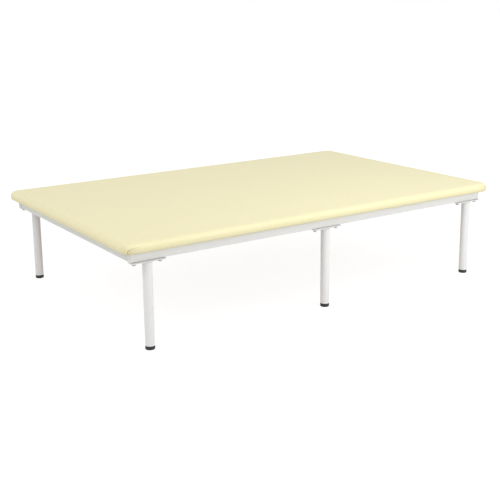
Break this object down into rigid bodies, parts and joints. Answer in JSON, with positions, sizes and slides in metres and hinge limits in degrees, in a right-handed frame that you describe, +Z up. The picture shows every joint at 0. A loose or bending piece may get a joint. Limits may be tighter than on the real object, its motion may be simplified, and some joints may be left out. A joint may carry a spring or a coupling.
{
  "type": "therapy training table",
  "caption": "Low therapy platform: cream upholstered pad on an off-white steel frame with bolted tube legs and black levelling feet.",
  "frame": {"origin": "on the floor under the middle of the table", "axes": "+X along the table, +Y across it away from the pictured long side, +Z up"},
  "size_m": [1.9, 1.2, 0.43],
  "materials": {
    "cream_vinyl": "fine-grained vinyl leather, semi-matt",
    "foam": "open foam",
    "plywood": "bare",
    "off_white_paint": "powder coat, semi-gloss",
    "off_white_plastic": "matt",
    "zinc_plated_steel": "zinc plated",
    "black_plastic": "matt"
  },
  "bodies": {
    "table": {"vinyl_cover": "cream_vinyl", "foam_pad": "foam", "plywood_board": "plywood", "front_rail": "off_white_paint", "rear_rail": "off_white_paint", "left_end_rail": "off_white_paint", "right_end_rail": "off_white_paint", "left_cross_rail": "off_white_paint", "middle_cross_rail": "off_white_paint", "right_cross_rail": "off_white_paint", "front_left_rail_cap": "off_white_plastic", "board_screw_front_left": "zinc_plated_steel", "front_right_rail_cap": "off_white_plastic", "board_screw_front_right": "zinc_plated_steel", "rear_left_rail_cap": "off_white_plastic", "board_screw_rear_left": "zinc_plated_steel", "rear_right_rail_cap": "off_white_plastic", "board_screw_rear_right": "zinc_plated_steel", "front_left_leg_tube": "off_white_paint", "front_left_leg_plate": "off_white_paint", "front_left_bolt_left": "zinc_plated_steel", "front_left_bolt_right": "zinc_plated_steel", "front_left_foot_plug": "zinc_plated_steel", "front_middle_leg_tube": "off_white_paint", "front_middle_leg_plate": "off_white_paint", "front_middle_bolt_left": "zinc_plated_steel", "front_middle_bolt_right": "zinc_plated_steel", "front_middle_foot_plug": "zinc_plated_steel", "front_right_leg_tube": "off_white_paint", "front_right_leg_plate": "off_white_paint", "front_right_bolt_left": "zinc_plated_steel", "front_right_bolt_right": "zinc_plated_steel", "front_right_foot_plug": "zinc_plated_steel", "rear_left_leg_tube": "off_white_paint", "rear_left_leg_plate": "off_white_paint", "rear_left_bolt_left": "zinc_plated_steel", "rear_left_bolt_right": "zinc_plated_steel", "rear_left_foot_plug": "zinc_plated_steel", "rear_middle_leg_tube": "off_white_paint", "rear_middle_leg_plate": "off_white_paint", "rear_middle_bolt_left": "zinc_plated_steel", "rear_middle_bolt_right": "zinc_plated_steel", "rear_middle_foot_plug": "zinc_plated_steel", "rear_right_leg_tube": "off_white_paint", "rear_right_leg_plate": "off_white_paint", "rear_right_bolt_left": "zinc_plated_steel", "rear_right_bolt_right": "zinc_plated_steel", "rear_right_foot_plug": "zinc_plated_steel"},
    "front_left_foot": {"front_left_foot_pad": "black_plastic", "front_left_foot_stem": "zinc_plated_steel"},
    "front_middle_foot": {"front_middle_foot_pad": "black_plastic", "front_middle_foot_stem": "zinc_plated_steel"},
    "front_right_foot": {"front_right_foot_pad": "black_plastic", "front_right_foot_stem": "zinc_plated_steel"},
    "rear_left_foot": {"rear_left_foot_pad": "black_plastic", "rear_left_foot_stem": "zinc_plated_steel"},
    "rear_middle_foot": {"rear_middle_foot_pad": "black_plastic", "rear_middle_foot_stem": "zinc_plated_steel"},
    "rear_right_foot": {"rear_right_foot_pad": "black_plastic", "rear_right_foot_stem": "zinc_plated_steel"}
  },
  "joints": [
    {"name": "front_left_foot_slide", "type": "slide", "parent": "table", "child": "front_left_foot", "axis": [0, 0, -1], "range_m": [0, 0.012]},
    {"name": "front_middle_foot_slide", "type": "slide", "parent": "table", "child": "front_middle_foot", "axis": [0, 0, -1], "range_m": [0, 0.012]},
    {"name": "front_right_foot_slide", "type": "slide", "parent": "table", "child": "front_right_foot", "axis": [0, 0, -1], "range_m": [0, 0.012]},
    {"name": "rear_left_foot_slide", "type": "slide", "parent": "table", "child": "rear_left_foot", "axis": [0, 0, -1], "range_m": [0, 0.012]},
    {"name": "rear_middle_foot_slide", "type": "slide", "parent": "table", "child": "rear_middle_foot", "axis": [0, 0, -1], "range_m": [0, 0.012]},
    {"name": "rear_right_foot_slide", "type": "slide", "parent": "table", "child": "rear_right_foot", "axis": [0, 0, -1], "range_m": [0, 0.012]}
  ]
}
